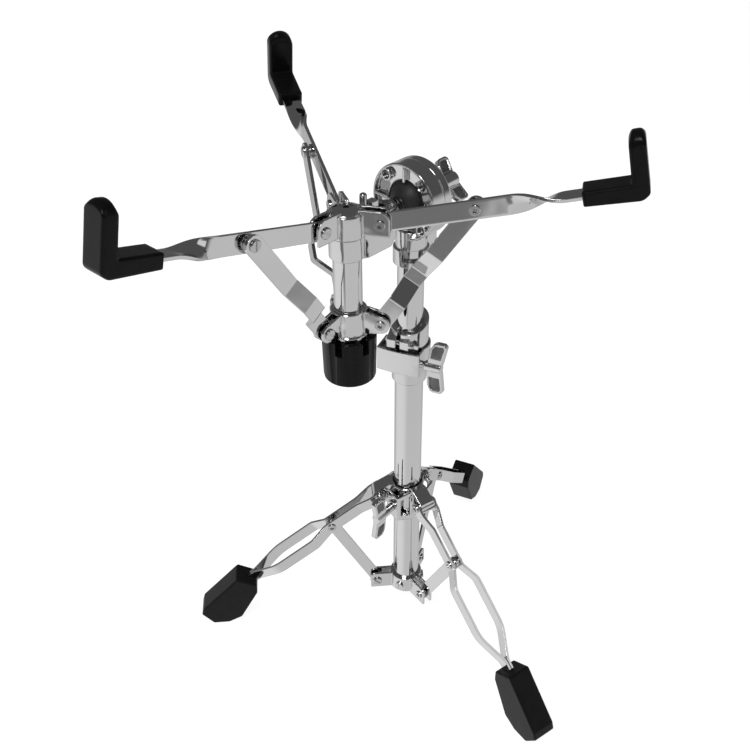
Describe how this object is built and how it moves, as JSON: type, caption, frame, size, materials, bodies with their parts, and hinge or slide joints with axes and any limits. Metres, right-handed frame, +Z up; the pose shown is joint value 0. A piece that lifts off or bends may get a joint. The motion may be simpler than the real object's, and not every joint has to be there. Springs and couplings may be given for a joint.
{
  "type": "snare drum stand",
  "caption": "Folding chrome tripod stand with a height tube, ball tilter and a basket of padded arms that clamps a snare drum.",
  "frame": {"origin": "on the floor, on the axis of the main tube", "axes": "+Z up along the main tube; the basket post stands off towards -Y"},
  "size_m": [0.4421, 0.5464, 0.6189],
  "materials": {
    "chrome_tube": "mirror chrome plate",
    "chrome_strap": "bright chrome plate",
    "chrome_casting": "chrome on a casting",
    "plated_fastener": "plated steel",
    "pad_rubber": "smooth moulded rubber",
    "foot_rubber": "matt moulded rubber",
    "knob_plastic": "satin black",
    "dark_nylon": "satin dark"
  },
  "bodies": {
    "base": {"lower_tube": "chrome_tube", "leg_lower_hub": "chrome_casting", "lower_hub_pins": "plated_fastener", "lower_hub_screws": "plated_fastener", "height_clamp": "chrome_casting", "clamp_bush": "dark_nylon"},
    "clamp_screw": {"clamp_wing_screw": "chrome_casting"},
    "collar": {"leg_collar": "chrome_casting", "collar_bush": "dark_nylon"},
    "collar_screw": {"collar_wing_screw": "chrome_casting"},
    "riser": {"tube_glide": "dark_nylon"},
    "memory_lock": {"memory_lock": "chrome_casting", "memory_lock_screw": "plated_fastener"},
    "mast": {"upper_tube": "chrome_tube", "tilter_housing": "chrome_casting", "tilter_cap": "chrome_casting", "tilter_screws": "plated_fastener"},
    "tilter_screw": {"tilter_wing_screw": "chrome_casting"},
    "seat": {"ball_seat": "dark_nylon"},
    "basket": {"tilt_ball": "dark_nylon", "basket_bracket": "chrome_casting", "bracket_pin": "plated_fastener", "basket_post": "chrome_tube", "upper_basket_hub": "chrome_casting", "hub_bolt": "plated_fastener", "upper_hub_pins": "plated_fastener"},
    "lower_hub": {"lower_basket_hub": "chrome_casting", "lower_basket_pins": "plated_fastener"},
    "knob": {"adjusting_knob": "knob_plastic"},
    "leg_1": {"leg_1_bar_a": "chrome_strap", "leg_1_bar_b": "chrome_strap", "leg_1_rivets": "plated_fastener", "foot_1": "foot_rubber"},
    "brace_1": {"brace_1": "chrome_strap"},
    "leg_2": {"leg_2_bar_a": "chrome_strap", "leg_2_bar_b": "chrome_strap", "leg_2_rivets": "plated_fastener", "foot_2": "foot_rubber"},
    "brace_2": {"brace_2": "chrome_strap"},
    "leg_3": {"leg_3_bar_a": "chrome_strap", "leg_3_bar_b": "chrome_strap", "leg_3_rivets": "plated_fastener", "foot_3": "foot_rubber"},
    "brace_3": {"brace_3": "chrome_strap"},
    "arm_1": {"arm_1": "chrome_strap", "pad_1": "pad_rubber", "arm_1_rivet": "plated_fastener"},
    "link_1": {"link_1": "chrome_strap", "link_1_screw": "plated_fastener"},
    "arm_2": {"arm_2": "chrome_strap", "pad_2": "pad_rubber", "arm_2_rivet": "plated_fastener"},
    "link_2": {"link_2": "chrome_strap", "link_2_screw": "plated_fastener"},
    "arm_3": {"arm_3": "chrome_strap", "pad_3": "pad_rubber", "arm_3_rivet": "plated_fastener"},
    "link_3": {"link_3": "chrome_strap", "link_3_screw": "plated_fastener"}
  },
  "joints": [
    {"name": "collar_slide", "type": "slide", "parent": "base", "child": "collar", "axis": [0, 0, 1], "range_m": [0, 0.03676]},
    {"name": "collar_screw_turn", "type": "hinge", "parent": "collar", "child": "collar_screw", "pos_m": [0.00209, -0.03995, 0.1665], "axis": [0.0523, -0.9986, 0], "continuous": true},
    {"name": "clamp_screw_turn", "type": "hinge", "parent": "base", "child": "clamp_screw", "pos_m": [0.04368, -0.004, 0.352], "axis": [0.9455, 0.3256, 0], "continuous": true},
    {"name": "height", "type": "slide", "parent": "base", "child": "riser", "axis": [0, 0, 1], "range_m": [0, 0.12]},
    {"name": "lock_slide", "type": "slide", "parent": "riser", "child": "memory_lock", "axis": [0, 0, 1], "range_m": [0, 0.05]},
    {"name": "swivel", "type": "hinge", "parent": "riser", "child": "mast", "pos_m": [0, 0, 0.4], "axis": [0, 0, 1], "range_deg": [-150, 50]},
    {"name": "tilter_screw_turn", "type": "hinge", "parent": "mast", "child": "tilter_screw", "pos_m": [0, 0.045, 0.5114], "axis": [0, 1, 0], "continuous": true},
    {"name": "basket_lean", "type": "hinge", "parent": "mast", "child": "seat", "pos_m": [0, 0, 0.5114], "axis": [0, 1, 0], "range_deg": [-20, 20]},
    {"name": "basket_tilt", "type": "hinge", "parent": "seat", "child": "basket", "pos_m": [0, 0, 0.5114], "axis": [-1, 0, 0], "range_deg": [-7, 20]},
    {"name": "hub_slide", "type": "slide", "parent": "basket", "child": "lower_hub", "axis": [0, 0, 1], "range_m": [0, 0.03528]},
    {"name": "knob_turn", "type": "hinge", "parent": "basket", "child": "knob", "pos_m": [0, -0.083, 0.39], "axis": [0, 0, 1], "continuous": true},
    {"name": "leg_1_fold", "type": "hinge", "parent": "collar", "child": "leg_1", "pos_m": [-0.02026, -0.02226, 0.1725], "axis": [0.7396, -0.673, 0], "range_deg": [0, 41.31]},
    {"name": "brace_1_swing", "type": "hinge", "parent": "base", "child": "brace_1", "pos_m": [-0.02221, -0.02441, 0.0424], "axis": [-0.7396, 0.673, 0], "range_deg": [0, 24.39]},
    {"name": "leg_2_fold", "type": "hinge", "parent": "collar", "child": "leg_2", "pos_m": [0.02941, -0.00641, 0.1725], "axis": [0.213, 0.977, 0], "range_deg": [0, 41.31]},
    {"name": "brace_2_swing", "type": "hinge", "parent": "base", "child": "brace_2", "pos_m": [0.03224, -0.00703, 0.0424], "axis": [-0.213, -0.977, 0], "range_deg": [0, 24.39]},
    {"name": "leg_3_fold", "type": "hinge", "parent": "collar", "child": "leg_3", "pos_m": [-0.00915, 0.02868, 0.1725], "axis": [-0.9527, -0.304, 0], "range_deg": [0, 41.31]},
    {"name": "brace_3_swing", "type": "hinge", "parent": "base", "child": "brace_3", "pos_m": [-0.01003, 0.03144, 0.0424], "axis": [0.9527, 0.304, 0], "range_deg": [0, 24.39]},
    {"name": "arm_1_fold", "type": "hinge", "parent": "basket", "child": "arm_1", "pos_m": [0, -0.1125, 0.521], "axis": [-1, 0, 0], "range_deg": [0, 61]},
    {"name": "link_1_swing", "type": "hinge", "parent": "lower_hub", "child": "link_1", "pos_m": [0, -0.1125, 0.4255], "axis": [-1, 0, 0], "range_deg": [0, 25.1]},
    {"name": "arm_2_fold", "type": "hinge", "parent": "basket", "child": "arm_2", "pos_m": [0.02555, -0.06825, 0.521], "axis": [0.5, -0.866, 0], "range_deg": [0, 61]},
    {"name": "link_2_swing", "type": "hinge", "parent": "lower_hub", "child": "link_2", "pos_m": [0.02555, -0.06825, 0.4255], "axis": [0.5, -0.866, 0], "range_deg": [0, 25.1]},
    {"name": "arm_3_fold", "type": "hinge", "parent": "basket", "child": "arm_3", "pos_m": [-0.02555, -0.06825, 0.521], "axis": [0.5, 0.866, 0], "range_deg": [0, 61]},
    {"name": "link_3_swing", "type": "hinge", "parent": "lower_hub", "child": "link_3", "pos_m": [-0.02555, -0.06825, 0.4255], "axis": [0.5, 0.866, 0], "range_deg": [0, 25.1]}
  ],
  "couplings": [
    {"joint": "leg_1_fold", "follows": "collar_slide", "rad_per_m": 19.609},
    {"joint": "brace_1_swing", "follows": "collar_slide", "rad_per_m": 11.575},
    {"joint": "leg_2_fold", "follows": "collar_slide", "rad_per_m": 19.609},
    {"joint": "brace_2_swing", "follows": "collar_slide", "rad_per_m": 11.575},
    {"joint": "leg_3_fold", "follows": "collar_slide", "rad_per_m": 19.609},
    {"joint": "brace_3_swing", "follows": "collar_slide", "rad_per_m": 11.575},
    {"joint": "link_1_swing", "follows": "arm_1_fold", "ratio": 0.41139},
    {"joint": "arm_2_fold", "follows": "arm_1_fold", "ratio": 1},
    {"joint": "link_2_swing", "follows": "arm_1_fold", "ratio": 0.41139},
    {"joint": "arm_3_fold", "follows": "arm_1_fold", "ratio": 1},
    {"joint": "link_3_swing", "follows": "arm_1_fold", "ratio": 0.41139},
    {"joint": "hub_slide", "follows": "arm_1_fold", "m_per_rad": 0.033128}
  ]
}
